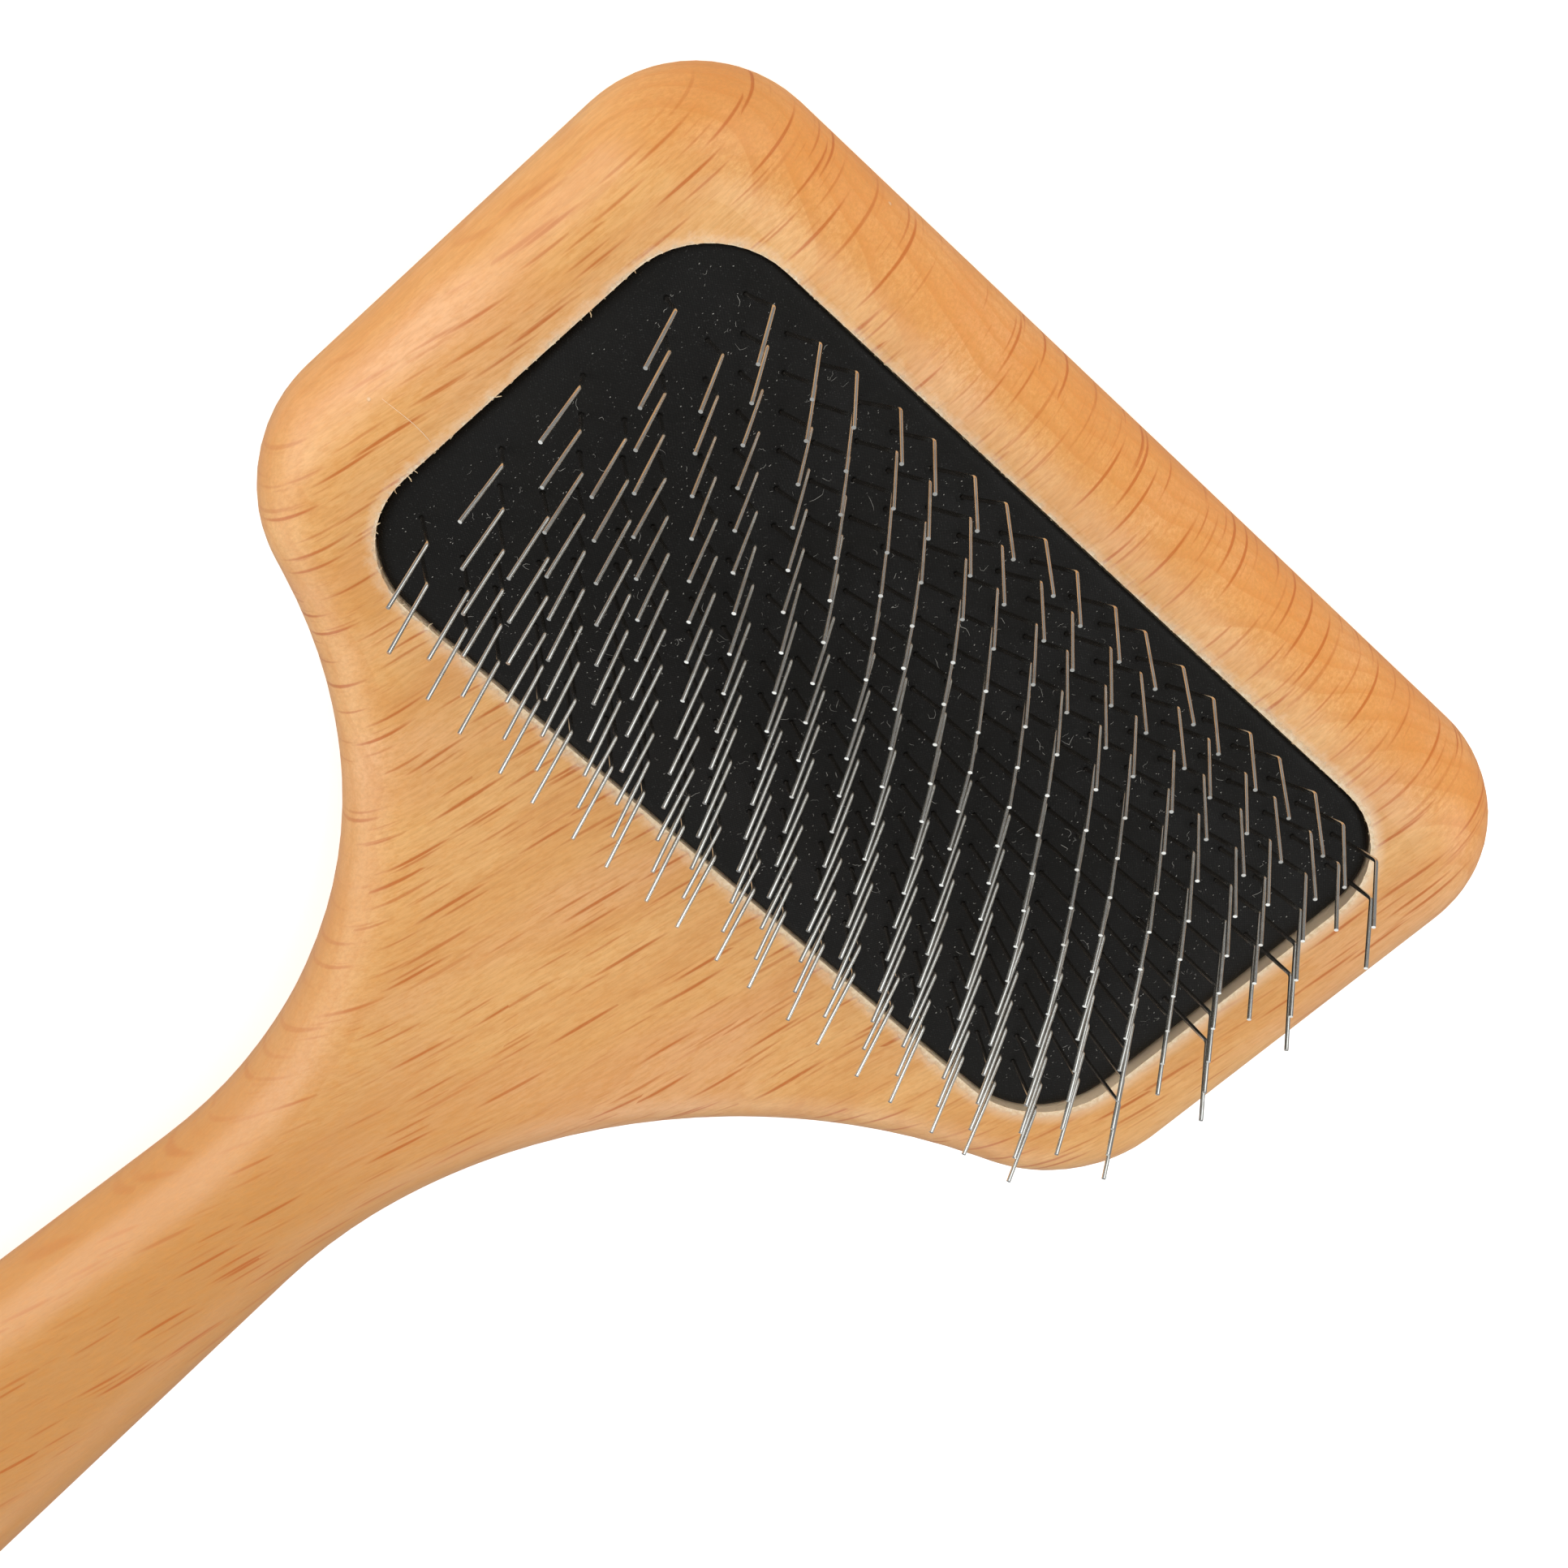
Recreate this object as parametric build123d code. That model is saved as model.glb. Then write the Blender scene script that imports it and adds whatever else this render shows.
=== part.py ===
from build123d import *
import math
import os

# Slicker brush, in millimetres. X runs along the brush, from the handle to the head's far edge.
# Y runs across the head. Z points out of the brush's face, the way that the pins stand.
# The origin lies on the flat back face, under the middle of the pocket.

# Wooden body
body_thickness = 17.0
edge_round = 8.0            # fillet on both faces, which leaves a narrow flat band at mid-thickness
far_edge_x = 32.2
head_half_width = 56.5
corner_radius = 13.1
head_side_end_x = -16.3     # where the straight side of the head meets the shoulder
shoulder_radius = 15.4
shoulder_turn = 68.3        # degrees
hip_run = 1.4               # short straight between shoulder and neck
neck_radius = 57.8
handle_flare = 3.6          # degrees by which each edge of the handle opens towards its end
handle_run = 72.0           # straight stretch of the handle's edge

# Pocket in the face
pocket_length = 92.0        # along Y
pocket_width = 46.6         # along X
pocket_corner = 9.2
pocket_floor = 8.0          # height of the floor above the back face

# Cushion: layers from the top down, all with the same domed surface
wall_gap = 0.3              # room between the cushion's edge and the pocket's wall
pad_edge_height = 15.6      # height of the facing at the pocket's wall
dome_height = 5.4           # rise of the facing from its edge to its middle
dome_reach_x = 23.6         # half-width over which the dome falls to its edge
dome_reach_y = 46.3
dome_power_y = 4            # flat along the middle, steep near the two ends
facing_thickness = 1.2
foundation_thickness = 1.6
foam_gap = 0.3

# Wire staples
row_count = 16
staples_per_row = 9
first_row_x = 19.3
row_pitch = 2.51
staple_pitch = 9.0
stagger_steps = 4           # each row is stepped a quarter of the pitch from the last
crown_width = 5.0
wire_diameter = 0.4
crown_depth = 2.0           # depth of the crown's centreline under the facing, along the leg
lower_leg = 7.1             # from the facing to the knee
upper_leg = 7.7             # from the knee to the tip
bend_radius = 0.7
set_lean = (0.31, -0.15)    # lean of the lower legs beyond the dome's normal, as slopes in X and Y
bent_back = (-0.56, -0.10)  # slopes of the upper legs at the middle of the dome
upper_follow = (1.21, 0.71)  # how much the upper legs follow the slope of the dome
first_centre_y = 32.95      # middle of the first staple in the row that starts furthest in

# A few staples near one corner have been pushed over in use
bruise_centre = (8.8, 36.5)
bruise_size = 7.2
bruise_lower = (-0.22, 0.08)
bruise_upper = (0.02, 0.06)

# Hand-set wires vary a little
lean_variation = 0.022
length_variation = 0.18


def body_outline():
    """Plan of head, neck and handle: one side drawn as tangent lines and arcs, then mirrored."""
    corner_start = head_half_width - corner_radius
    far = Line((far_edge_x, -corner_start), (far_edge_x, corner_start))
    corner = JernArc(far @ 1, far % 1, corner_radius, 90)
    side = Line(corner @ 1, (head_side_end_x, head_half_width))
    shoulder = JernArc(side @ 1, side % 1, shoulder_radius, shoulder_turn)
    hip = Line(shoulder @ 1, shoulder @ 1 + (shoulder % 1) * hip_run)
    neck = JernArc(hip @ 1, hip % 1, neck_radius, -(shoulder_turn + handle_flare))
    grip = Line(neck @ 1, neck @ 1 + (neck % 1) * handle_run)
    end_radius = (grip @ 1).Y / math.cos(math.radians(handle_flare))
    end = JernArc(grip @ 1, grip % 1, end_radius, 180 + 2 * handle_flare)
    side_edges = [corner, side, shoulder, hip, neck, grip]
    other_side = [edge.mirror(Plane.XZ) for edge in side_edges]
    return make_face(Wire.combine(side_edges + other_side + [far, end])[0])


def pocket_prism(inset, bottom, top):
    """Upright block with the pocket's plan shape, drawn in from the wall by inset."""
    plan = RectangleRounded(pocket_width - 2 * inset, pocket_length - 2 * inset, pocket_corner - inset)
    return Pos(0, 0, bottom) * extrude(plan, top - bottom)


def wooden_body():
    block = extrude(body_outline(), body_thickness)
    faces = block.faces().sort_by(Axis.Z)
    rims = faces[0].edges() + faces[-1].edges()
    rounded = fillet(rims, edge_round)
    return rounded - pocket_prism(0, pocket_floor, body_thickness + 1)


def dome_rise(x, y):
    across = 1 - (x / dome_reach_x) ** 2
    along = 1 - (y / dome_reach_y) ** dome_power_y
    return pad_edge_height + dome_height * across * along


def dome_slope(x, y):
    """Slopes of the dome's normal away from upright, in X and in Y."""
    across = 1 - (x / dome_reach_x) ** 2
    along = 1 - (y / dome_reach_y) ** dome_power_y
    slope_x = dome_height * along * 2 * x / dome_reach_x ** 2
    slope_y = dome_height * across * dome_power_y * y ** (dome_power_y - 1) / dome_reach_y ** dome_power_y
    return slope_x, slope_y


def dome_face(depth):
    """Smooth face that lies depth below the top of the facing and overhangs the pocket's plan."""
    half_x = pocket_width / 2 + 0.2
    half_y = pocket_length / 2 + 0.2
    steps_x = 12
    steps_y = 24
    rows = []
    for j in range(steps_y + 1):
        y = -half_y + 2 * half_y * j / steps_y
        row = []
        for i in range(steps_x + 1):
            x = -half_x + 2 * half_x * i / steps_x
            row.append(Vector(x, y, dome_rise(x, y) - depth))
        rows.append(row)
    return Face.make_surface_from_array_of_points(rows, tol=0.005, min_deg=3, max_deg=5)


def domed_layer(depth, thickness):
    slab = extrude(dome_face(depth), amount=thickness, dir=(0, 0, -1))
    return slab & pocket_prism(wall_gap, pocket_floor, body_thickness + dome_height + 1)


def foam_cushion():
    depth = facing_thickness + foundation_thickness + foam_gap
    under = extrude(dome_face(depth), amount=body_thickness, dir=(0, 0, -1))
    return under & pocket_prism(wall_gap, pocket_floor, body_thickness + dome_height + 1)


def variation(row, staple, channel):
    """Repeatable value from -1 to 1 that differs from staple to staple."""
    return math.sin(12.9898 * row + 78.233 * staple + 37.719 * channel)


def leg_points(x, y, row, staple):
    """Crown end, knee and tip of one leg that comes out of the facing at x, y."""
    slope_x, slope_y = dome_slope(x, y)
    distance = math.hypot(x - bruise_centre[0], y - bruise_centre[1])
    bruise = math.exp(-distance ** 2 / (2 * bruise_size ** 2))
    sway_x = lean_variation * variation(row, staple, 1)
    sway_y = lean_variation * variation(row, staple, 2)
    lower = Vector(
        set_lean[0] + slope_x + bruise * bruise_lower[0] + sway_x,
        set_lean[1] + slope_y + bruise * bruise_lower[1] + sway_y,
        1,
    ).normalized()
    upper = Vector(
        bent_back[0] + upper_follow[0] * slope_x + bruise * bruise_upper[0] + sway_x,
        bent_back[1] + upper_follow[1] * slope_y + bruise * bruise_upper[1] - sway_y,
        1,
    ).normalized()
    foot = Vector(x, y, dome_rise(x, y))
    knee = foot + lower * lower_leg
    reach = upper_leg + length_variation * variation(row, staple, 3)
    return foot - lower * crown_depth, knee, knee + upper * reach


def wire_staple(row, staple):
    """One wire: tip, knee, crown, knee, tip."""
    row_phase = (1 - row) % stagger_steps
    x = first_row_x - row * row_pitch
    centre_y = first_centre_y + row_phase * staple_pitch / stagger_steps - staple * staple_pitch
    left = leg_points(x, centre_y + crown_width / 2, row, staple)
    right = leg_points(x, centre_y - crown_width / 2, row, staple)
    route = [left[2], left[1], left[0], right[0], right[1], right[2]]
    path = FilletPolyline(*route, radius=bend_radius)
    section = Plane(origin=path @ 0, z_dir=path % 0) * Circle(wire_diameter / 2)
    return sweep(section, path)


def staple_row(row):
    return Compound(children=[wire_staple(row, staple).solid() for staple in range(staples_per_row)])


def write_parts():
    os.makedirs("parts", exist_ok=True)
    export_step(wooden_body(), "parts/wooden_body.step")
    export_step(domed_layer(0, facing_thickness), "parts/woven_facing.step")
    export_step(domed_layer(facing_thickness, foundation_thickness), "parts/canvas_foundation.step")
    export_step(foam_cushion(), "parts/foam_cushion.step")
    for row in range(row_count):
        export_step(staple_row(row), f"parts/staple_row_{row + 1:02d}.step")


write_parts()
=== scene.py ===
import bpy
import math
import random
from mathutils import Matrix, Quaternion, Vector, noise


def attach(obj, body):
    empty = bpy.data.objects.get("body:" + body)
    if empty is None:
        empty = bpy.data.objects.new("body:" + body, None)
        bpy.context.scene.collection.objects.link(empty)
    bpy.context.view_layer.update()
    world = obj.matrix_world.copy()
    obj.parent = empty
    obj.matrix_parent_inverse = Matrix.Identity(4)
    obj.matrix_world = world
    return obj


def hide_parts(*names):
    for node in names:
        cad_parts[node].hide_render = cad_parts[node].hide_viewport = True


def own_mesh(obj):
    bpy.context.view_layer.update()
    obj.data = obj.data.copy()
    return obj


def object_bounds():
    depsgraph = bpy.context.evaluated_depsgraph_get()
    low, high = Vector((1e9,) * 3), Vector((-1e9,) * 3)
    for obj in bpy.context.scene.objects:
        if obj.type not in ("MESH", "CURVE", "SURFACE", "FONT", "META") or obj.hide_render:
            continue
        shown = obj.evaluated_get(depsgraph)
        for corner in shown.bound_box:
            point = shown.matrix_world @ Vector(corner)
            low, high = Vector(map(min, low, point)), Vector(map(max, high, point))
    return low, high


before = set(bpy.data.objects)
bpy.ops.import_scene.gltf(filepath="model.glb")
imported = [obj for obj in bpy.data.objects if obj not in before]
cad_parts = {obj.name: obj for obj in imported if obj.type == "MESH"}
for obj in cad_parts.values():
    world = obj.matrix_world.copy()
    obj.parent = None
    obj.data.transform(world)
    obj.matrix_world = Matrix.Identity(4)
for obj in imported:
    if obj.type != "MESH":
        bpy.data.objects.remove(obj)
cadLow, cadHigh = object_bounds()
mm = 0.001


# Small helpers for node trees

def newMaterial(name):
    material = bpy.data.materials.new(name)
    material.use_nodes = True
    tree = material.node_tree
    shader = tree.nodes["Principled BSDF"]
    return material, tree, shader


def put(tree, socket, value):
    # a socket is linked, anything else is typed in
    if isinstance(value, bpy.types.NodeSocket):
        tree.links.new(value, socket)
    else:
        socket.default_value = value


def maths(tree, operation, a, b=0.0, c=0.0, clamp=False):
    node = tree.nodes.new("ShaderNodeMath")
    node.operation = operation
    node.use_clamp = clamp
    for socket, value in zip(node.inputs, (a, b, c)):
        put(tree, socket, value)
    return node.outputs[0]


def vectorMaths(tree, operation, a, b=(0, 0, 0)):
    node = tree.nodes.new("ShaderNodeVectorMath")
    node.operation = operation
    put(tree, node.inputs[0], a)
    put(tree, node.inputs[1], b)
    return node.outputs["Value" if operation in ("LENGTH", "DOT_PRODUCT") else "Vector"]


def times(tree, a, b):
    return maths(tree, "MULTIPLY", a, b)


def plus(tree, a, b, clamp=False):
    return maths(tree, "ADD", a, b, clamp=clamp)


def minus(tree, a, b):
    return maths(tree, "SUBTRACT", a, b)


def stretched(tree, points, factors):
    return vectorMaths(tree, "MULTIPLY", points, factors)


def smooth(tree, value, low, high, outLow=0.0, outHigh=1.0):
    node = tree.nodes.new("ShaderNodeMapRange")
    node.interpolation_type = "SMOOTHSTEP"
    put(tree, node.inputs["Value"], value)
    for name, number in (("From Min", low), ("From Max", high), ("To Min", outLow), ("To Max", outHigh)):
        put(tree, node.inputs[name], number)
    return node.outputs["Result"]


def mixColour(tree, factor, a, b):
    node = tree.nodes.new("ShaderNodeMix")
    node.data_type = "RGBA"
    put(tree, node.inputs["Factor"], factor)
    put(tree, node.inputs["A"], a)
    put(tree, node.inputs["B"], b)
    return node.outputs["Result"]


def noiseTexture(tree, vector, scale=1.0, detail=2.0, roughness=0.5, output="Fac"):
    node = tree.nodes.new("ShaderNodeTexNoise")
    put(tree, node.inputs["Vector"], vector)
    node.inputs["Scale"].default_value = scale
    node.inputs["Detail"].default_value = detail
    node.inputs["Roughness"].default_value = roughness
    return node.outputs[output]


def millimetres(tree):
    # Object coordinates in millimetres
    coordinates = tree.nodes.new("ShaderNodeTexCoord").outputs["Object"]
    mapping = tree.nodes.new("ShaderNodeMapping")
    mapping.inputs["Scale"].default_value = (1000, 1000, 1000)
    put(tree, mapping.inputs["Vector"], coordinates)
    return mapping.outputs["Vector"]


def bump(tree, height, distance, strength=1.0, normal=None):
    node = tree.nodes.new("ShaderNodeBump")
    node.inputs["Strength"].default_value = strength
    node.inputs["Distance"].default_value = distance
    put(tree, node.inputs["Height"], height)
    if normal is not None:
        put(tree, node.inputs["Normal"], normal)
    return node.outputs["Normal"]


def colour(red, green, blue):
    # screen colour, 0 to 255, as the linear values that a shader takes
    def linear(v):
        v = v / 255
        return v / 12.92 if v <= 0.04045 else ((v + 0.055) / 1.055) ** 2.4
    return (linear(red), linear(green), linear(blue), 1.0)


# Camera

cameraValues = {
    "place": (0.1315, 0.1634, 0.3693),
    "aim": (-0.0123, 0.0003, 0.017),
    "lens": 104.8,
    "roll": 176.9,          # degrees, so that the handle points down and left
}


def addCamera():
    data = bpy.data.cameras.new("camera")
    data.lens = cameraValues["lens"]
    data.sensor_width = 36
    data.clip_start = 0.01
    camera = bpy.data.objects.new("camera", data)
    bpy.context.scene.collection.objects.link(camera)
    direction = Vector(cameraValues["aim"]) - Vector(cameraValues["place"])
    roll = Quaternion((0, 0, 1), math.radians(cameraValues["roll"]))
    camera.rotation_mode = "QUATERNION"
    camera.rotation_quaternion = direction.to_track_quat("-Z", "Y") @ roll
    camera.location = cameraValues["place"]
    bpy.context.scene.camera = camera


addCamera()
print("camera placed")


# Wood

wood = {
    "pale": colour(230, 177, 111),
    "mid": colour(218, 157, 88),
    "pink": colour(228, 171, 120),
    "orange": colour(214, 130, 42),
    "late": colour(208, 136, 64),
    "fleck": colour(188, 98, 16),
    "handleShadeColour": colour(196, 136, 70),
    "deep": colour(212, 142, 62),
    "raw": colour(246, 226, 196),
    "rawDark": colour(226, 196, 156),
    "wall": colour(255, 226, 188),
    "ringCentre": (0, 14, -95),      # millimetres: the heart of the log, well under the brush
    "ringWidth": 1.9,
    "grainAtHead": 0.05,             # slope of the grain in plan at the head's far edge
    "grainTurn": 0.15,               # and how much more it slopes in the handle
    "grainBend": 20.0,               # millimetres over which it turns
    "pocketHalf": (23.3, 46.0),      # millimetres, as in the CAD model
    "pocketCorner": 9.2,
    "handleShade": (-30.0, -95.0),       # x between which painted shade darkens the handle, and by how much
    "handleShadeShare": 0.85,
    "ragged": 2.2,                   # how far the raw rim wanders, in millimetres
    "even": 0.55,                    # and at the short end that was cut more cleanly
    "evenFrom": (-30.0, -42.0),      # y between which it turns even
    "rawRim": (0.75, 0.25),          # millimetres outside the pocket
    "paleHem": (1.7, 0.5),
    "hemShare": 0.35,
    "coat": (0.6, 0.12),             # lacquer, and the little that end grain keeps
}

# flecks in millimetres: cell, half size, shift, share kept and strength; long ones, then a faint short one
fleckLayers = [
    ((9.0, 2.2, 15), (4.8, 0.22, 7.5), (3.1, 0.4, 7.7), 0.85, 1.0),
    ((7.5, 1.8, 11), (3.6, 0.17, 5), (17.3, 5.2, 2.9), 0.7, 0.75),
    ((11.0, 3.0, 18), (5.4, 0.25, 9), (31.7, 9.1, 12.3), 0.6, 1.0),
    ((3.6, 1.0, 6), (1.5, 0.10, 2.6), (8.4, 3.3, 5.9), 0.6, 0.33),
]


def grainPoints(tree, points):
    # y runs along with the grain, which bends a little between the head and the handle
    split = tree.nodes.new("ShaderNodeSeparateXYZ")
    put(tree, split.inputs[0], points)
    x = split.outputs[0]
    squared = plus(tree, times(tree, x, x), wood["grainBend"] ** 2)
    bend = minus(tree, maths(tree, "SQRT", squared), x)
    shift = minus(tree, times(tree, x, wood["grainAtHead"]), times(tree, bend, wood["grainTurn"] / 2))
    joined = tree.nodes.new("ShaderNodeCombineXYZ")
    put(tree, joined.inputs[1], shift)
    straight = vectorMaths(tree, "ADD", points, joined.outputs[0])
    wander = noiseTexture(tree, points, scale=0.022, detail=2, output="Color")
    sway = stretched(tree, vectorMaths(tree, "SUBTRACT", wander, (0.5, 0.5, 0.5)), (0, 3.5, 4))
    return vectorMaths(tree, "ADD", straight, sway)


def fleckLayer(tree, points, cell, half, shift, keep):
    # thin lens-shaped plates: one in each Voronoi cell, cut across by the surface
    inverse = tuple(1 / c for c in cell)
    scaled = stretched(tree, vectorMaths(tree, "ADD", points, shift), inverse)
    voronoi = tree.nodes.new("ShaderNodeTexVoronoi")
    put(tree, voronoi.inputs["Vector"], scaled)
    voronoi.inputs["Scale"].default_value = 1.0
    offset = vectorMaths(tree, "SUBTRACT", scaled, voronoi.outputs["Position"])
    ratio = tuple(c / h for c, h in zip(cell, half))
    reach = vectorMaths(tree, "LENGTH", stretched(tree, offset, ratio))
    lens = smooth(tree, reach, 1.0, 0.4)
    split = tree.nodes.new("ShaderNodeSeparateColor")
    put(tree, split.inputs[0], voronoi.outputs["Color"])
    strength = smooth(tree, split.outputs[0], 1 - keep - 0.15, 1 - keep + 0.3, 0.0, 1.0)
    return times(tree, lens, strength)


def pocketDistance(tree, points):
    # distance from the pocket's outline in plan, in millimetres, negative inside
    halfX, halfY = wood["pocketHalf"]
    corner = wood["pocketCorner"]
    flat = stretched(tree, vectorMaths(tree, "ABSOLUTE", points), (1, 1, 0))
    outside = vectorMaths(tree, "SUBTRACT", flat, (halfX - corner, halfY - corner, 0))
    beyond = vectorMaths(tree, "LENGTH", vectorMaths(tree, "MAXIMUM", outside, (0, 0, 0)))
    split = tree.nodes.new("ShaderNodeSeparateXYZ")
    put(tree, split.inputs[0], outside)
    inner = maths(tree, "MINIMUM", maths(tree, "MAXIMUM", split.outputs[0], split.outputs[1]), 0.0)
    return minus(tree, plus(tree, beyond, inner), corner)


def growthRings(tree, points):
    # late wood as thin darker shells round the heart of the log
    warp = noiseTexture(tree, stretched(tree, points, (0.012, 0.05, 0.05)), detail=2, output="Color")
    pushed = vectorMaths(tree, "ADD", points, stretched(tree, warp, (0, 5, 6)))
    away = stretched(tree, vectorMaths(tree, "SUBTRACT", pushed, wood["ringCentre"]), (0, 1, 1))
    turns = maths(tree, "DIVIDE", vectorMaths(tree, "LENGTH", away), wood["ringWidth"])
    return maths(tree, "FRACT", turns)


def lacqueredBeech():
    material, tree, shader = newMaterial("lacqueredBeech")
    coordinates = tree.nodes.new("ShaderNodeTexCoord")
    plain = millimetres(tree)
    points = grainPoints(tree, plain)

    split = tree.nodes.new("ShaderNodeSeparateXYZ")
    put(tree, split.inputs[0], coordinates.outputs["Normal"])

    # growth rings, and broad pale and pinkish streaks along the grain
    ring = growthRings(tree, points)
    bands = noiseTexture(tree, stretched(tree, points, (0.012, 0.11, 0.11)), detail=3, roughness=0.6)
    base = mixColour(tree, smooth(tree, bands, 0.32, 0.68), wood["mid"], wood["pale"])
    patches = noiseTexture(tree, stretched(tree, points, (0.03, 0.07, 0.07)), detail=2)
    base = mixColour(tree, smooth(tree, patches, 0.5, 0.68, 0.0, 0.6), base, wood["pink"])
    late = times(tree, smooth(tree, ring, 0.45, 0.95), smooth(tree, ring, 1.0, 0.96))
    endFace = smooth(tree, split.outputs[0], 0.1, 0.6)
    ringShare = times(tree, late, plus(tree, times(tree, endFace, 0.35), 0.24))     # plainest on end grain
    base = mixColour(tree, ringShare, base, wood["late"])

    # end grain takes more colour from the lacquer, and painted shade: the +X end and the rounded edges,
    # turned away from the top, are mixed towards a darker orange
    endGrainAndShade = maths(tree, "MAXIMUM", smooth(tree, split.outputs[0], 0.15, 0.95, 0.0, 0.75),
                     smooth(tree, split.outputs[2], 0.9, 0.1, 0.0, 0.35))
    blotch = noiseTexture(tree, plain, scale=0.09, detail=3)
    soakedAndShaded = times(tree, endGrainAndShade, smooth(tree, blotch, 0.3, 0.6, 0.5, 1.0))
    base = mixColour(tree, soakedAndShaded, base, wood["orange"])
    vessels = noiseTexture(tree, stretched(tree, plain, (1.2, 2.6, 2.6)), detail=4, roughness=0.75)
    mottle = times(tree, smooth(tree, split.outputs[0], 0.1, 0.5),
                   smooth(tree, vessels, 0.38, 0.62, 0.55, -0.1))
    base = mixColour(tree, maths(tree, "MAXIMUM", mottle, 0.0), base, wood["late"])
    along = tree.nodes.new("ShaderNodeSeparateXYZ")
    put(tree, along.inputs[0], plain)
    # painted shade: the handle is mixed towards a darker tone away from the head
    handleShade = smooth(tree, along.outputs[0], *wood["handleShade"], 0.0, wood["handleShadeShare"])
    base = mixColour(tree, handleShade, base, wood["handleShadeColour"])

    # fine fibre and pores
    fibre = noiseTexture(tree, stretched(tree, points, (0.3, 3.2, 3.2)), detail=4, roughness=0.7)
    pores = noiseTexture(tree, stretched(tree, points, (1.3, 9, 9)), detail=2, roughness=0.6)
    shade = times(tree, smooth(tree, fibre, 0.3, 0.7, 0.95, 1.04),
                  smooth(tree, pores, 0.25, 0.5, 0.94, 1.0))
    base = mixColour(tree, smooth(tree, fibre, 0.60, 0.36, 0.0, 0.26), base, wood["deep"])
    dapple = noiseTexture(tree, stretched(tree, points, (0.8, 1.7, 1.7)), detail=4, roughness=0.7)
    base = mixColour(tree, smooth(tree, dapple, 0.56, 0.36, 0.0, 0.34), base, wood["deep"])
    scaled = tree.nodes.new("ShaderNodeVectorMath")
    scaled.operation = "SCALE"
    put(tree, scaled.inputs[0], base)
    put(tree, scaled.inputs["Scale"], shade)

    # flecks, fainter where the surface is cut along the rays
    flecks = 0.0
    for cell, half, shift, keep, strength in fleckLayers:
        layer = fleckLayer(tree, points, cell, half, shift, keep)
        flecks = maths(tree, "MAXIMUM", flecks, times(tree, layer, strength))
    sideways = smooth(tree, maths(tree, "ABSOLUTE", split.outputs[1]), 0.35, 0.9, 1.0, 0.35)
    broken = times(tree, times(tree, flecks, sideways), smooth(tree, pores, 0.2, 0.5, 0.7, 1.0))
    grained = mixColour(tree, times(tree, broken, 0.9), scaled.outputs[0], wood["fleck"])

    # raw, ragged edge and wall of the pocket
    distance = pocketDistance(tree, plain)
    fuzz = noiseTexture(tree, plain, scale=0.9, detail=5, roughness=0.75)
    even = smooth(tree, along.outputs[1], *wood["evenFrom"], wood["ragged"], wood["even"])
    ragged = plus(tree, distance, times(tree, minus(tree, fuzz, 0.5), even))
    clean = smooth(tree, vectorMaths(tree, "DOT_PRODUCT", plain, (0.7, 0.7, 0)), -8.0, 16.0, 0.0, 0.42)
    ragged = plus(tree, ragged, clean)     # neater along the two sides that were cut last
    raw = smooth(tree, ragged, *wood["rawRim"])
    hem = times(tree, smooth(tree, ragged, *wood["paleHem"]), wood["hemShare"])     # sealed, but still paler
    grained = mixColour(tree, hem, grained, wood["raw"])
    strands = noiseTexture(tree, stretched(tree, plain, (2.0, 2.0, 6.0)), detail=4, roughness=0.7)
    rawTone = mixColour(tree, smooth(tree, strands, 0.35, 0.65), wood["raw"], wood["rawDark"])
    rawTone = mixColour(tree, smooth(tree, distance, 0.06, 0.0), rawTone, wood["wall"])
    onTop = smooth(tree, distance, 0.02, 0.5, 1.0, 0.6)
    pale = mixColour(tree, times(tree, raw, onTop), grained, rawTone)
    lumps = tree.nodes.new("ShaderNodeTexVoronoi")     # rare pale lumps under the lacquer
    put(tree, lumps.inputs["Vector"], plain)
    lumps.inputs["Scale"].default_value = 0.11
    speck = smooth(tree, plus(tree, lumps.outputs["Distance"], times(tree, fuzz, 0.04)), 0.05, 0.03)
    put(tree, shader.inputs["Base Color"], mixColour(tree, times(tree, speck, 0.35), pale, wood["raw"]))

    # satin lacquer, dull where the wood is raw
    worn = noiseTexture(tree, plain, scale=0.12, detail=3)
    gloss = smooth(tree, worn, 0.3, 0.7, 0.35, 0.45)
    put(tree, shader.inputs["Roughness"], plus(tree, gloss, times(tree, raw, 0.4), clamp=True))
    shader.inputs["Specular IOR Level"].default_value = 0.45
    put(tree, shader.inputs["Coat Weight"], smooth(tree, split.outputs[0], -0.6, 0.7, *wood["coat"]))
    shader.inputs["Coat Roughness"].default_value = 0.3
    shader.inputs["Subsurface Weight"].default_value = 0.06
    shader.inputs["Subsurface Radius"].default_value = (1.2 * mm, 0.6 * mm, 0.25 * mm)
    shader.inputs["Subsurface Scale"].default_value = 1.0

    # open fibre, sunken flecks, a slightly wavy sanded surface, and the rough raw edge
    height = minus(tree, times(tree, fibre, 0.5), times(tree, flecks, 0.25))
    skin = bump(tree, height, 0.04 * mm, 0.4)
    sanded = noiseTexture(tree, plain, scale=0.22, detail=2)
    skin = bump(tree, sanded, 0.25 * mm, 0.5, skin)
    rough = plus(tree, times(tree, raw, strands), times(tree, speck, 0.3))
    put(tree, shader.inputs["Normal"], bump(tree, rough, 0.25 * mm, 0.8, skin))
    return material


def dressNode(name, material):
    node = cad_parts[name]
    for slotIndex in range(len(node.material_slots)):
        node.material_slots[slotIndex].material = material


dressNode("wooden_body", lacqueredBeech())
print("wood done")


# The cushion's shape, as in the CAD model

cushion = {
    "halfX": 23.05 * mm,
    "halfY": 45.75 * mm,
    "corner": 8.95 * mm,
    "edgeHeight": 15.6 * mm,        # top of the facing at the wall
    "rise": 5.4 * mm,
    "reachX": 23.6 * mm,
    "reachY": 46.3 * mm,
    "powerY": 4,
    "facing": 1.2 * mm,             # thicknesses
    "canvas": 1.6 * mm,
    "gap": 0.3 * mm,
    "floor": 8.0 * mm,
}

# Steel wire

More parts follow.
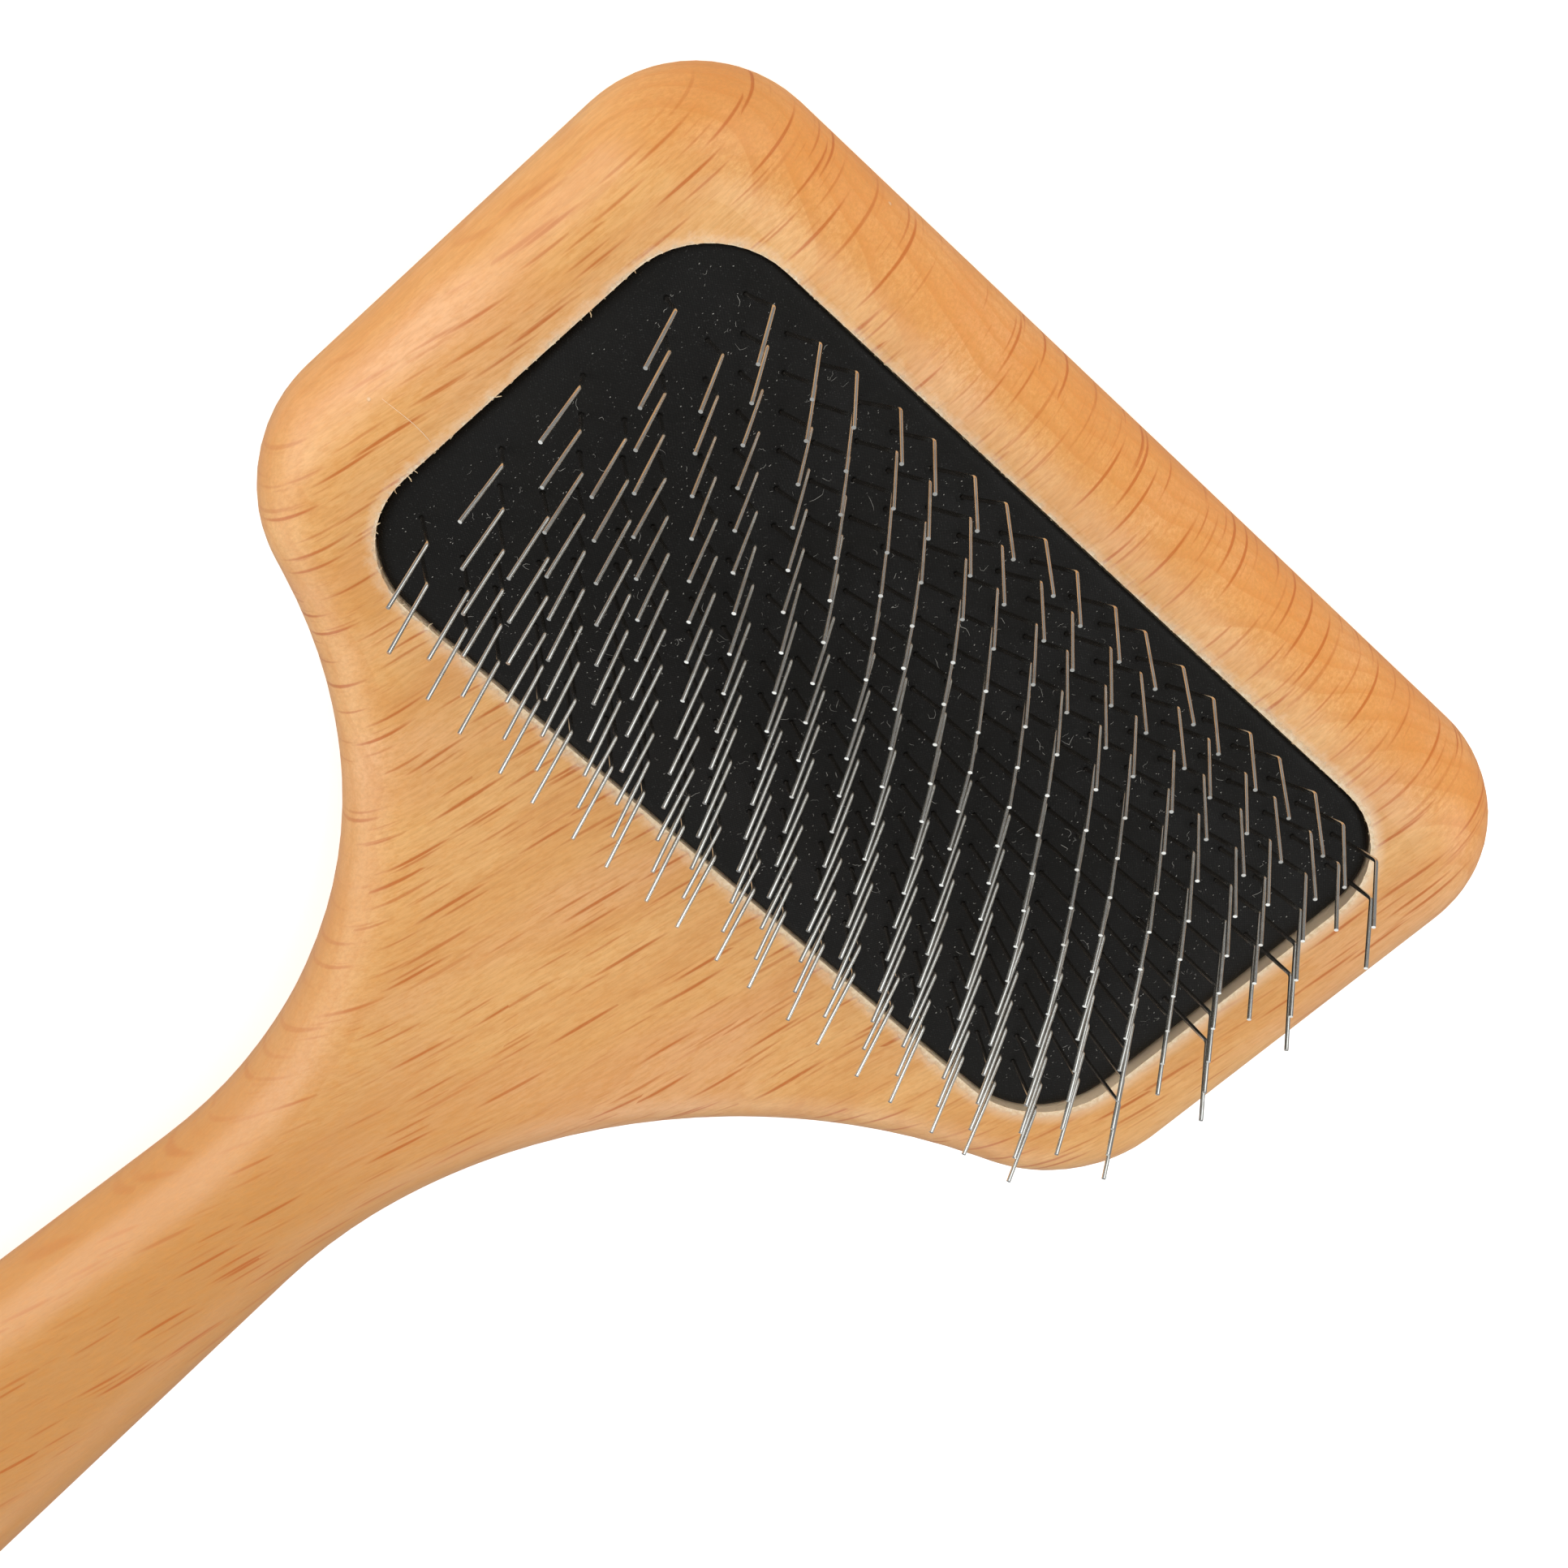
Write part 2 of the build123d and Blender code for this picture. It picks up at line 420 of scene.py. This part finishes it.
steel = {
    "base": colour(234, 235, 231),
    "dull": colour(206, 203, 195),
    "foot": colour(190, 182, 172),          # painted shade low on the wire, for the shadow and dark reflections on the lower legs
    "paintedShadeHeight": (6.1, 7.4),               # millimetres above the facing, with the patches added
}


def drawnSteel():
    material, tree, shader = newMaterial("drawnSteel")
    points = millimetres(tree)
    split = tree.nodes.new("ShaderNodeSeparateXYZ")
    put(tree, split.inputs[0], points)
    across = maths(tree, "POWER", maths(tree, "DIVIDE", split.outputs[0], cushion["reachX"] / mm), 2.0)
    ratioY = maths(tree, "DIVIDE", split.outputs[1], cushion["reachY"] / mm)
    along = times(tree, times(tree, ratioY, ratioY), times(tree, ratioY, ratioY))
    domed = times(tree, minus(tree, 1.0, across), minus(tree, 1.0, along))
    facingTop = plus(tree, times(tree, domed, cushion["rise"] / mm), cushion["edgeHeight"] / mm)
    above = minus(tree, split.outputs[2], facingTop)
    patches = noiseTexture(tree, points, scale=0.5, detail=2)
    # painted shade: below this height over the facing the wire takes the darker foot colour
    clean = smooth(tree, plus(tree, above, patches), *steel["paintedShadeHeight"])
    tone = mixColour(tree, smooth(tree, patches, 0.45, 0.7, 0.0, 0.6), steel["base"], steel["dull"])
    put(tree, shader.inputs["Base Color"], mixColour(tree, clean, steel["foot"], tone))
    shader.inputs["Metallic"].default_value = 1.0
    put(tree, shader.inputs["Roughness"], smooth(tree, patches, 0.3, 0.7, 0.14, 0.21))
    return material


rowNames = sorted(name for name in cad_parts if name.startswith("staple_row"))
steelMaterial = drawnSteel()
for name in rowNames:
    dressNode(name, steelMaterial)
print("wires done")


# Facing

facingCloth = {
    "pitch": 0.42 * mm,
    "lift": 1.25 * mm,               # the edge stands up against the long sides of the pocket
    "liftWidth": 5.5 * mm,
    "roll": 0.35 * mm,              # and rolls over in its last stretch
    "rollWidth": 0.9 * mm,
    "broadWave": 0.12 * mm,
    "fineWave": 0.025 * mm,
    "thickness": 1.1 * mm,
    "threads": (0.26, 0.40),        # millimetres from thread to thread, across and along
}


def domeHeight(x, y):
    across = 1 - (x / cushion["reachX"]) ** 2
    along = 1 - (y / cushion["reachY"]) ** cushion["powerY"]
    return cushion["edgeHeight"] + cushion["rise"] * across * along


def selectOnly(piece):
    bpy.ops.object.select_all(action="DESELECT")
    piece.select_set(True)
    bpy.context.view_layer.objects.active = piece


def applyModifier(piece, kind, **values):
    selectOnly(piece)
    modifier = piece.modifiers.new(kind.lower(), kind)
    for name, value in values.items():
        setattr(modifier, name, value)
    bpy.ops.object.modifier_apply(modifier=modifier.name)


def roundedGrid(name, pitch, inset=0.0):
    # grid whose corners are drawn in to the pocket's rounded plan
    halfX = cushion["halfX"] - inset
    halfY = cushion["halfY"] - inset
    corner = cushion["corner"] - inset
    bpy.ops.object.select_all(action="DESELECT")
    bpy.ops.mesh.primitive_grid_add(x_subdivisions=round(2 * halfX / pitch),
                                    y_subdivisions=round(2 * halfY / pitch), size=2)
    piece = bpy.context.object
    piece.name = name
    for vertex in piece.data.vertices:
        x = vertex.co.x * halfX
        y = vertex.co.y * halfY
        overX = abs(x) - (halfX - corner)
        overY = abs(y) - (halfY - corner)
        if overX > 0 and overY > 0:
            pull = max(overX, overY) / math.hypot(overX, overY)
            x = math.copysign(halfX - corner + overX * pull, x)
            y = math.copysign(halfY - corner + overY * pull, y)
        vertex.co = (x, y, 0)
    return piece


def edgeDistance(x, y, inset=0.0):
    # how far a point lies inside the rounded plan
    corner = cushion["corner"] - inset
    overX = abs(x) - (cushion["halfX"] - inset - corner)
    overY = abs(y) - (cushion["halfY"] - inset - corner)
    outside = math.hypot(max(overX, 0), max(overY, 0))
    return corner - outside - min(max(overX, overY), 0)


def facingHeight(x, y):
    inside = max(edgeDistance(x, y), 0.0)
    middle = max(0.0, 1 - (abs(y) / cushion["reachY"]) ** 6)
    lift = facingCloth["lift"] * middle * max(0.0, 1 - inside / facingCloth["liftWidth"]) ** 2
    over = max(0.0, 1 - inside / facingCloth["rollWidth"])
    wave = noise.noise(Vector((x, y, 0)) * 170) * facingCloth["broadWave"]
    wave += noise.noise(Vector((x, y, 3)) * 700) * facingCloth["fineWave"]
    return domeHeight(x, y) + lift - facingCloth["roll"] * over ** 2 + wave * (1 - over)


def wovenFacing():
    piece = roundedGrid("facingCloth", facingCloth["pitch"])
    for vertex in piece.data.vertices:
        vertex.co.z = facingHeight(vertex.co.x, vertex.co.y)
    applyModifier(piece, "SOLIDIFY", thickness=facingCloth["thickness"], offset=-1)
    bpy.ops.object.shade_smooth()
    return piece


def threadWaves(tree, points, pitchX, pitchY):
    # over and under: warp and weft as crossed waves, 0 to 1
    split = tree.nodes.new("ShaderNodeSeparateXYZ")
    put(tree, split.inputs[0], points)
    weft = maths(tree, "SINE", times(tree, split.outputs[0], 2 * math.pi / pitchX))
    warp = maths(tree, "SINE", times(tree, split.outputs[1], 2 * math.pi / pitchY))
    return plus(tree, times(tree, times(tree, weft, warp), 0.5), 0.5)


def rubberisedCloth():
    material, tree, shader = newMaterial("rubberisedCloth")
    points = millimetres(tree)
    drift = noiseTexture(tree, points, scale=0.08, detail=2, output="Color")
    drawn = vectorMaths(tree, "ADD", points, stretched(tree, drift, (2.4, 2.4, 0)))
    weave = threadWaves(tree, drawn, *facingCloth["threads"])
    worn = noiseTexture(tree, points, scale=0.15, detail=3)
    tone = mixColour(tree, smooth(tree, weave, 0.25, 0.9), colour(5, 4, 3), colour(16, 15, 12))
    tone = mixColour(tree, smooth(tree, worn, 0.42, 0.68, 0.0, 0.45), tone, colour(21, 20, 17))
    dust = noiseTexture(tree, points, scale=3.2, detail=4, roughness=0.75)
    grains = noiseTexture(tree, points, scale=7.0, detail=2, roughness=0.6)
    powder = plus(tree, smooth(tree, dust, 0.68, 0.80, 0.0, 0.22),
                  smooth(tree, grains, 0.62, 0.74, 0.0, 0.10))
    put(tree, shader.inputs["Base Color"], mixColour(tree, powder, tone, colour(165, 165, 162)))
    put(tree, shader.inputs["Roughness"], smooth(tree, worn, 0.3, 0.7, 0.55, 0.72))
    shader.inputs["Specular IOR Level"].default_value = 0.2
    shader.inputs["Sheen Weight"].default_value = 0.008
    shader.inputs["Sheen Roughness"].default_value = 0.4
    put(tree, shader.inputs["Normal"], bump(tree, weave, 0.05 * mm, 0.5))
    return material


facing = wovenFacing()
facing.data.materials.append(rubberisedCloth())
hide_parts("woven_facing")
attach(facing, "pad")
print("facing done")


# Puckers where the wires come through the facing

pins = {
    "rows": 16,
    "staples": 9,
    "firstRow": 19.3 * mm,
    "rowPitch": 2.51 * mm,
    "firstCentre": 32.95 * mm,
    "staplePitch": 9.0 * mm,
    "crown": 5.0 * mm,
    "steps": 4,
}

pucker = {
    "outer": 0.62 * mm,
    "lip": [(0.42 * mm, 0.06 * mm), (0.30 * mm, 0.10 * mm), (0.24 * mm, 0.04 * mm), (0.24 * mm, -0.15 * mm)],
    "slopeStep": 0.3 * mm,
    "sides": 8,
}


def footPlaces():
    places = []
    for row in range(pins["rows"]):
        x = pins["firstRow"] - row * pins["rowPitch"]
        phase = (1 - row) % pins["steps"]
        for staple in range(pins["staples"]):
            centre = pins["firstCentre"] + (phase / pins["steps"] - staple) * pins["staplePitch"]
            for side in (-0.5, 0.5):
                places.append((x, centre + side * pins["crown"]))
    return places


def wirePuckers():
    # a small collar with a rolled lip round each wire's foot, built from rings
    rings = [(pucker["outer"], 0.0)] + pucker["lip"]
    sides = pucker["sides"]
    step = pucker["slopeStep"]
    points, faces = [], []
    for x, y in footPlaces():
        slopeX = (facingHeight(x + step, y) - facingHeight(x - step, y)) / (2 * step)
        slopeY = (facingHeight(x, y + step) - facingHeight(x, y - step)) / (2 * step)
        turn = Vector((-slopeX, -slopeY, 1)).to_track_quat("Z", "Y")
        foot = Vector((x, y, facingHeight(x, y)))
        first = len(points)
        for radius, height in rings:
            for side in range(sides):
                angle = 2 * math.pi * side / sides
                rim = Vector((radius * math.cos(angle), radius * math.sin(angle), height))
                points.append(turn @ rim + foot)
        for ring in range(len(rings) - 1):
            outer = first + ring * sides
            for side in range(sides):
                near, far = outer + side, outer + (side + 1) % sides
                faces.append((near, far, far + sides, near + sides))
    data = bpy.data.meshes.new("wirePuckers")
    data.from_pydata(points, [], faces)
    piece = bpy.data.objects.new("wirePuckers", data)
    bpy.context.scene.collection.objects.link(piece)
    selectOnly(piece)
    bpy.ops.object.shade_smooth()
    return piece


puckers = wirePuckers()
puckers.data.materials.append(bpy.data.materials["rubberisedCloth"])
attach(puckers, "pad")
print("puckers done")


# Lint on the facing, splinters along the pocket's edge

lint = {
    "fibres": 460,
    "specks": 1900,
    "radius": 0.014 * mm,
    "seed": 11,
}

splinters = {
    "fuzz": 300,
    "torn": 22,
    "seed": 5,
}


def fibrePiece(name, fibres):
    # each fibre is (points, radius); all become one mesh of four-sided threads
    data = bpy.data.curves.new(name, "CURVE")
    data.dimensions = "3D"
    data.bevel_depth = 1.0
    data.bevel_resolution = 0
    data.use_fill_caps = True
    for points, radius in fibres:
        spline = data.splines.new("POLY")
        spline.points.add(len(points) - 1)
        for target, point, taper in zip(spline.points, points, taperAlong(len(points))):
            target.co = (*point, 1)
            target.radius = radius * taper
    piece = bpy.data.objects.new(name, data)
    bpy.context.scene.collection.objects.link(piece)
    selectOnly(piece)
    bpy.ops.object.convert(target="MESH")
    piece = bpy.context.object
    bpy.ops.object.shade_smooth()
    return piece


def taperAlong(count):
    return [1.0 if 0 < k < count - 1 else 0.55 for k in range(count)]


def curledFibre(chance, x, y, height, length, curl):
    heading = chance.uniform(0, 2 * math.pi)
    points = []
    steps = 5
    for k in range(steps):
        arch = math.sin(math.pi * k / (steps - 1)) * length * chance.uniform(0.02, 0.16)
        points.append((x, y, height(x, y) + 0.03 * mm + arch))
        heading += chance.gauss(0, curl)
        x += math.cos(heading) * length / (steps - 1)
        y += math.sin(heading) * length / (steps - 1)
    return points


def facingLint():
    chance = random.Random(lint["seed"])
    fibres = []
    spanX = cushion["halfX"] - 2.5 * mm
    spanY = cushion["halfY"] - 2.5 * mm
    while len(fibres) < lint["fibres"]:
        x, y = chance.uniform(-spanX, spanX), chance.uniform(-spanY, spanY)
        if edgeDistance(x, y) > 2.3 * mm:
            length = min(1.8, 0.25 + chance.expovariate(2.8)) * mm
            radius = lint["radius"] * chance.uniform(0.6, 1.2)
            fibres.append((curledFibre(chance, x, y, facingHeight, length, 0.75), radius))
    while len(fibres) < lint["fibres"] + lint["specks"]:
        x, y = chance.uniform(-spanX, spanX), chance.uniform(-spanY, spanY)
        if edgeDistance(x, y) > 1.0 * mm:
            radius = chance.uniform(0.022, 0.06) * mm
            start = Vector((x, y, facingHeight(x, y) + 0.03 * mm))
            across = Vector((radius * 2.2, chance.uniform(-1, 1) * radius, 0))
            fibres.append(([start, start + across], radius))
    return fibrePiece("facingLint", fibres)


def pocketEdge(turn):
    # point on the pocket's edge and its outward direction, for turn from 0 to 1
    halfX, halfY = (half * mm for half in wood["pocketHalf"])
    corner = wood["pocketCorner"] * mm
    straightX, straightY = 2 * (halfX - corner), 2 * (halfY - corner)
    arc = math.pi * corner / 2
    run = turn * (2 * straightX + 2 * straightY + 4 * arc)
    innerX, innerY = halfX - corner, halfY - corner
    sides = [(straightY, halfX, -innerY, 0, 0), (arc, innerX, innerY, 0, 1),
             (straightX, innerX, halfY, 90, 0), (arc, -innerX, innerY, 90, 1),
             (straightY, -halfX, innerY, 180, 0), (arc, -innerX, -innerY, 180, 1),
             (straightX, -innerX, -halfY, 270, 0), (arc, innerX, -innerY, 270, 1)]
    for length, x, y, angle, curved in sides:
        if run <= length:
            break
        run -= length
    if curved:
        bearing = math.radians(angle + 90 * run / length)
        outward = Vector((math.cos(bearing), math.sin(bearing), 0))
        return Vector((x, y, 0)) + outward * corner, outward
    bearing = math.radians(angle)
    outward = Vector((math.cos(bearing), math.sin(bearing), 0))
    along = Vector((-outward.y, outward.x, 0))
    return Vector((x, y, 0)) + along * run, outward


def pocketSplinters():
    chance = random.Random(splinters["seed"])
    woodTop = 17.0 * mm
    fibres = []
    for k in range(splinters["fuzz"]):
        place, outward = pocketEdge((k + chance.random()) / splinters["fuzz"])
        along = Vector((-outward.y, outward.x, 0))
        start = place + outward * chance.uniform(-0.10, 0.06) * mm
        start.z = woodTop - chance.uniform(-0.01, 0.14) * mm
        length = chance.uniform(0.06, 0.26) * mm
        lean = along * chance.choice((-1, 1)) + outward * chance.uniform(-0.35, 0.2)
        lean = lean + Vector((0, 0, chance.uniform(-0.3, 0.1)))
        middle = start + lean * length * 0.5 + Vector((0, 0, 0.03 * mm))
        fibres.append(([start, middle, start + lean * length], chance.uniform(0.02, 0.05) * mm))
    for k in range(splinters["torn"]):
        # torn fibres: most on the left short side and its corners
        turn = chance.uniform(0.32, 0.53)
        place, outward = pocketEdge(turn)
        along = Vector((-outward.y, outward.x, 0))
        point = place + outward * 0.05 * mm
        point.z = woodTop - chance.uniform(0.0, 0.2) * mm
        heading = -outward + along * chance.uniform(-1.6, 1.6) + Vector((0, 0, chance.uniform(0.0, 0.5)))
        length = chance.uniform(0.2, 0.75) * mm
        points = []
        for step in range(4):
            points.append(point.copy())
            heading += Vector((chance.uniform(-0.7, 0.7), chance.uniform(-0.7, 0.7),
                               chance.uniform(-0.5, 0.3)))
            point = point + heading.normalized() * length / 3
        fibres.append((points, chance.uniform(0.03, 0.07) * mm))
    return fibrePiece("pocketSplinters", fibres)


def fibreMaterial(name, light, dark, see=0.0):
    material, tree, shader = newMaterial(name)
    points = millimetres(tree)
    vary = noiseTexture(tree, points, scale=0.7, detail=2)
    put(tree, shader.inputs["Base Color"], mixColour(tree, smooth(tree, vary, 0.3, 0.7), dark, light))
    shader.inputs["Roughness"].default_value = 0.75
    shader.inputs["Subsurface Weight"].default_value = see
    shader.inputs["Subsurface Radius"].default_value = (0.1 * mm, 0.1 * mm, 0.1 * mm)
    rough = noiseTexture(tree, points, scale=12, detail=2)
    put(tree, shader.inputs["Normal"], bump(tree, rough, 0.01 * mm, 0.4))
    return material


strayHair = {
    "start": (-10.1, 52.4),
    "end": (-9.8, 43.6),
    "radius": 0.03 * mm,
    "sway": 0.45,
    "steps": 9,
    "above": 60 * mm,
}


def hairOnWood():
    # one fine hair lying on the lacquer, laid down by casting rays onto the wood
    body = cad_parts["wooden_body"]
    (x0, y0), (x1, y1) = strayHair["start"], strayHair["end"]
    points = []
    for k in range(strayHair["steps"]):
        share = k / (strayHair["steps"] - 1)
        x = x0 + (x1 - x0) * share + strayHair["sway"] * math.sin(4.4 * share)
        y = y0 + (y1 - y0) * share
        place, normal = body.ray_cast(Vector((x * mm, y * mm, strayHair["above"])), Vector((0, 0, -1)))[1:3]
        points.append(place + normal * strayHair["radius"])
    return fibrePiece("strayHair", [(points, strayHair["radius"])])


facingFluff = facingLint()
facingFluff.data.materials.append(fibreMaterial("lintFibre", colour(196, 194, 186), colour(112, 110, 106)))
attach(facingFluff, "pad")
edgeFluff = pocketSplinters()
edgeFluff.data.materials.append(fibreMaterial("tornWood", colour(236, 216, 180), colour(214, 180, 134)))
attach(edgeFluff, "handle")
hair = hairOnWood()
hair.data.materials.append(fibreMaterial("paleHair", colour(246, 222, 190), colour(236, 204, 164)))
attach(hair, "handle")
print("lint and splinters done")


# Canvas and foam, under the facing

canvasSheet = {
    "pitch": 1.1 * mm,
    "inset": 0.25 * mm,
    "thickness": 1.3 * mm,
    "air": 0.12 * mm,               # under the facing
}

foamPad = {
    "pitch": 2.4 * mm,
    "inset": 0.25 * mm,
}


def underHeight(x, y):
    # underside of the facing, with a little air
    return domeHeight(x, y) - cushion["facing"] - canvasSheet["air"]


def canvasFoundation():
    piece = roundedGrid("canvasFoundation", canvasSheet["pitch"], canvasSheet["inset"])
    for vertex in piece.data.vertices:
        x, y = vertex.co.x, vertex.co.y
        ripple = noise.noise(Vector((x, y, 9)) * 260) * 0.04 * mm
        vertex.co.z = underHeight(x, y) - 0.08 * mm + ripple
    applyModifier(piece, "SOLIDIFY", thickness=canvasSheet["thickness"], offset=-1)
    applyModifier(piece, "BEVEL", width=0.25 * mm, segments=2, limit_method="ANGLE")
    bpy.ops.object.shade_smooth()
    return piece


def canvasMaterial():
    material, tree, shader = newMaterial("cottonCanvas")
    points = millimetres(tree)
    weave = threadWaves(tree, points, 0.9, 0.9)
    slub = noiseTexture(tree, stretched(tree, points, (0.4, 3.0, 1.0)), detail=3)
    tone = mixColour(tree, smooth(tree, weave, 0.2, 0.8), colour(168, 152, 122), colour(214, 200, 170))
    tone = mixColour(tree, smooth(tree, slub, 0.55, 0.7, 0.0, 0.5), tone, colour(190, 170, 132))
    put(tree, shader.inputs["Base Color"], tone)
    shader.inputs["Roughness"].default_value = 0.9
    shader.inputs["Sheen Weight"].default_value = 0.15
    put(tree, shader.inputs["Normal"], bump(tree, weave, 0.15 * mm, 0.7))
    return material


def foamBlock():
    # a grid thickened down to the pocket's floor, its sides pitted by open cells
    piece = roundedGrid("foamBlock", foamPad["pitch"], foamPad["inset"])
    for vertex in piece.data.vertices:
        x, y = vertex.co.x, vertex.co.y
        vertex.co.z = domeHeight(x, y) - cushion["facing"] - cushion["canvas"] - cushion["gap"]
    selectOnly(piece)
    bpy.ops.object.mode_set(mode="EDIT")
    bpy.ops.mesh.select_all(action="SELECT")
    bpy.ops.mesh.extrude_region_move()
    bpy.ops.object.mode_set(mode="OBJECT")
    for vertex in piece.data.vertices:
        if vertex.select:
            vertex.co.z = cushion["floor"] + 0.05 * mm
    bpy.ops.object.mode_set(mode="EDIT")
    bpy.ops.mesh.select_all(action="SELECT")
    bpy.ops.mesh.normals_make_consistent(inside=False)
    bpy.ops.object.mode_set(mode="OBJECT")
    applyModifier(piece, "BEVEL", width=0.5 * mm, segments=3, limit_method="ANGLE")
    for vertex in piece.data.vertices:
        x, y, z = vertex.co
        pore = noise.noise(Vector((x, y, z)) * 900) * 0.05 * mm
        vertex.co += Vector((-math.copysign(1, x), -math.copysign(1, y), 0)) * abs(pore)
    bpy.ops.object.shade_smooth()
    return piece


def openFoam():
    material, tree, shader = newMaterial("openFoam")
    points = millimetres(tree)
    cells = tree.nodes.new("ShaderNodeTexVoronoi")
    put(tree, cells.inputs["Vector"], points)
    cells.inputs["Scale"].default_value = 1.6
    pores = smooth(tree, cells.outputs["Distance"], 0.1, 0.6)
    aged = noiseTexture(tree, points, scale=0.1, detail=3)
    tone = mixColour(tree, pores, colour(176, 160, 120), colour(226, 214, 178))
    tone = mixColour(tree, smooth(tree, aged, 0.45, 0.7, 0.0, 0.5), tone, colour(206, 184, 130))
    put(tree, shader.inputs["Base Color"], tone)
    shader.inputs["Roughness"].default_value = 0.95
    shader.inputs["Subsurface Weight"].default_value = 0.2
    shader.inputs["Subsurface Radius"].default_value = (1.0 * mm, 0.9 * mm, 0.6 * mm)
    put(tree, shader.inputs["Normal"], bump(tree, pores, 0.25 * mm, 0.8))
    return material


canvas = canvasFoundation()
canvas.data.materials.append(canvasMaterial())
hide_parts("canvas_foundation")
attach(canvas, "pad")

foam = foamBlock()
foam.data.materials.append(openFoam())
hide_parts("foam_cushion")
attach(foam, "handle")
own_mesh(foam)
print("canvas and foam done")


# Floor and light

studio = {
    "floor": colour(240, 240, 240),
    "floorGlow": 0.52,
    "floorSide": 6,
    "floorGap": 0.05 * mm,
    "sky": 0.44,
    "ground": 0.26,
}

lamps = [
    # name, place, size, power
    ("windowLight", (-0.50, 0.93, 0.38), 1.10, 6.7),
    ("frontLight", (0.78, 0.45, 0.78), 0.80, 2.7),
    ("topLight", (0.15, -0.35, 1.02), 0.80, 3.4),
    ("lowLight", (1.05, 0.15, 0.30), 0.80, 1.9),
    ("rightLight", (0.50, -0.95, 0.45), 0.80, 3.0),
    ("rearLight", (-0.80, -0.62, 0.26), 0.70, 0.8),
    ("edgeLight", (-1.00, 0.25, 0.16), 0.80, 1.2),
]


def addFloor():
    bpy.ops.object.select_all(action="DESELECT")
    height = cadLow.z - studio["floorGap"]
    bpy.ops.mesh.primitive_plane_add(size=studio["floorSide"], location=(0, 0, height))
    floor = bpy.context.object
    floor.name = "floor"
    material, tree, shader = newMaterial("paleFloor")
    shader.inputs["Base Color"].default_value = studio["floor"]
    shader.inputs["Roughness"].default_value = 0.9
    shader.inputs["Emission Color"].default_value = (1, 1, 1, 1)
    shader.inputs["Emission Strength"].default_value = studio["floorGlow"]
    floor.data.materials.append(material)
    floor.visible_glossy = False


def addLight(name, place, size, power, aim=(0, 0, 0.02)):
    data = bpy.data.lights.new(name, "AREA")
    data.shape = "DISK"
    data.size = size
    data.energy = power
    lamp = bpy.data.objects.new(name, data)
    bpy.context.scene.collection.objects.link(lamp)
    lamp.location = place
    lamp.rotation_mode = "QUATERNION"
    lamp.rotation_quaternion = (Vector(aim) - Vector(place)).to_track_quat("-Z", "Y")


def addWorld():
    # soft white sky over dark ground
    world = bpy.data.worlds.new("studio")
    world.use_nodes = True
    tree = world.node_tree
    background = tree.nodes["Background"]
    split = tree.nodes.new("ShaderNodeSeparateXYZ")
    put(tree, split.inputs[0], tree.nodes.new("ShaderNodeTexCoord").outputs["Generated"])
    level = smooth(tree, split.outputs[2], -0.08, 0.10, studio["ground"], studio["sky"])
    put(tree, background.inputs["Strength"], level)
    background.inputs["Color"].default_value = (1, 1, 1, 1)
    bpy.context.scene.world = world


addFloor()
addWorld()
for name, place, size, power in lamps:
    addLight(name, place, size, power)
bpy.context.scene.view_settings.view_transform = "Standard"
print("studio done")
